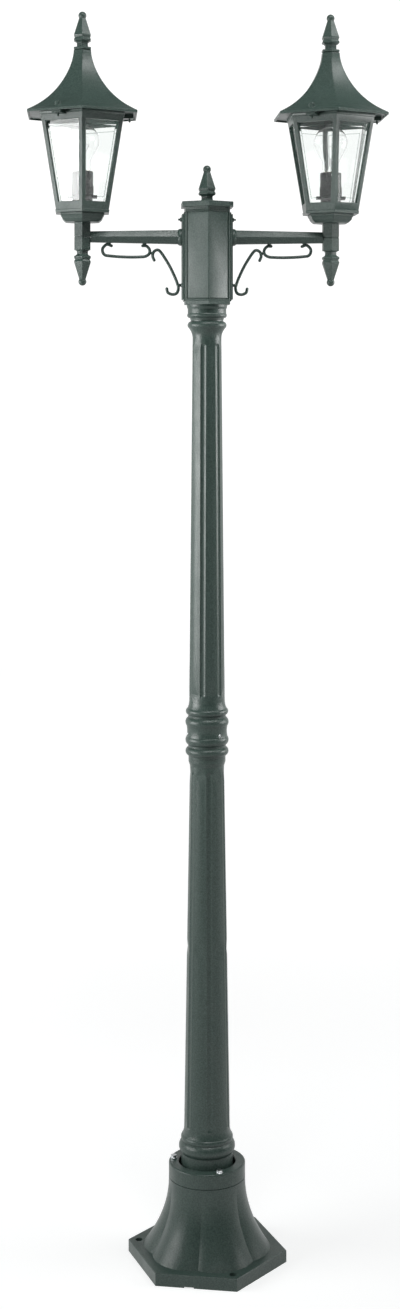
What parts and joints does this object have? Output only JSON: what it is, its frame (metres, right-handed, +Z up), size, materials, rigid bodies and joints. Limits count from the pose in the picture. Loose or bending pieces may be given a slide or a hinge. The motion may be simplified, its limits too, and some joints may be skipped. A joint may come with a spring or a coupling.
{
  "type": "garden lamp post",
  "caption": "Garden lamp post in painted cast metal: fluted post on a lobed base, junction box, scrolled arms and glazed lanterns under pointed roofs.",
  "frame": {"origin": "on the ground under the post's axis", "axes": "+Z up the post, +X from the post to the right-hand lantern, -Y to the front"},
  "size_m": [0.6456, 0.2752, 2.25],
  "materials": {
    "painted_casting": "satin",
    "zinc_plated_steel": "satin",
    "black_steel": "satin",
    "bare_aluminium": "satin",
    "terminal_plastic": "matte",
    "pane_glass": "polished",
    "holder_phenolic": "satin",
    "shell_brass": "satin",
    "lamp_cap_metal": "satin",
    "lamp_glass": "polished"
  },
  "bodies": {
    "post": {"base_casting": "painted_casting", "clamp_ring": "painted_casting", "clamp_bolts": "zinc_plated_steel", "lower_shaft": "painted_casting", "joint_sleeve": "painted_casting", "joint_spigot": "bare_aluminium", "joint_screws": "zinc_plated_steel", "upper_shaft": "painted_casting", "box_base": "painted_casting", "box_body": "painted_casting", "box_bridge": "zinc_plated_steel", "terminal_block": "terminal_plastic", "left_arm_plate": "painted_casting", "left_plate_screw": "zinc_plated_steel", "left_arm": "painted_casting", "left_arm_nut": "zinc_plated_steel", "left_c_scroll": "painted_casting", "left_s_scroll": "painted_casting", "left_column": "painted_casting", "left_pendant_finial": "painted_casting", "left_tie_tube": "zinc_plated_steel", "left_tie_nut": "zinc_plated_steel", "left_lantern_base": "painted_casting", "left_cage": "painted_casting", "left_panes": "pane_glass", "left_holder_bracket": "black_steel", "left_lampholder": "holder_phenolic", "left_holder_shell": "shell_brass", "right_arm_plate": "painted_casting", "right_plate_screw": "zinc_plated_steel", "right_arm": "painted_casting", "right_arm_nut": "zinc_plated_steel", "right_c_scroll": "painted_casting", "right_s_scroll": "painted_casting", "right_column": "painted_casting", "right_pendant_finial": "painted_casting", "right_tie_tube": "zinc_plated_steel", "right_tie_nut": "zinc_plated_steel", "right_lantern_base": "painted_casting", "right_cage": "painted_casting", "right_panes": "pane_glass", "right_holder_bracket": "black_steel", "right_lampholder": "holder_phenolic", "right_holder_shell": "shell_brass"},
    "box_lid": {"box_cap": "painted_casting", "box_finial": "painted_casting", "box_finial_stud": "zinc_plated_steel"},
    "left_roof_top": {"left_roof": "painted_casting", "left_roof_finial": "painted_casting", "left_roof_screws": "painted_casting"},
    "right_roof_top": {"right_roof": "painted_casting", "right_roof_finial": "painted_casting", "right_roof_screws": "painted_casting"},
    "left_lamp": {"left_bulb_cap": "lamp_cap_metal", "left_bulb_glass": "lamp_glass", "left_bulb_mount": "lamp_glass"},
    "right_lamp": {"right_bulb_cap": "lamp_cap_metal", "right_bulb_glass": "lamp_glass", "right_bulb_mount": "lamp_glass"}
  },
  "joints": [
    {"name": "box_lid_lift", "type": "slide", "parent": "post", "child": "box_lid", "axis": [0, 0, 1], "range_m": [0, 0.1]},
    {"name": "left_roof_lift", "type": "slide", "parent": "post", "child": "left_roof_top", "axis": [0, 0, 1], "range_m": [0, 0.15]},
    {"name": "left_lamp_out", "type": "slide", "parent": "post", "child": "left_lamp", "axis": [0, 0, 1], "range_m": [0, 0.027]},
    {"name": "right_roof_lift", "type": "slide", "parent": "post", "child": "right_roof_top", "axis": [0, 0, 1], "range_m": [0, 0.15]},
    {"name": "right_lamp_out", "type": "slide", "parent": "post", "child": "right_lamp", "axis": [0, 0, 1], "range_m": [0, 0.027]}
  ]
}
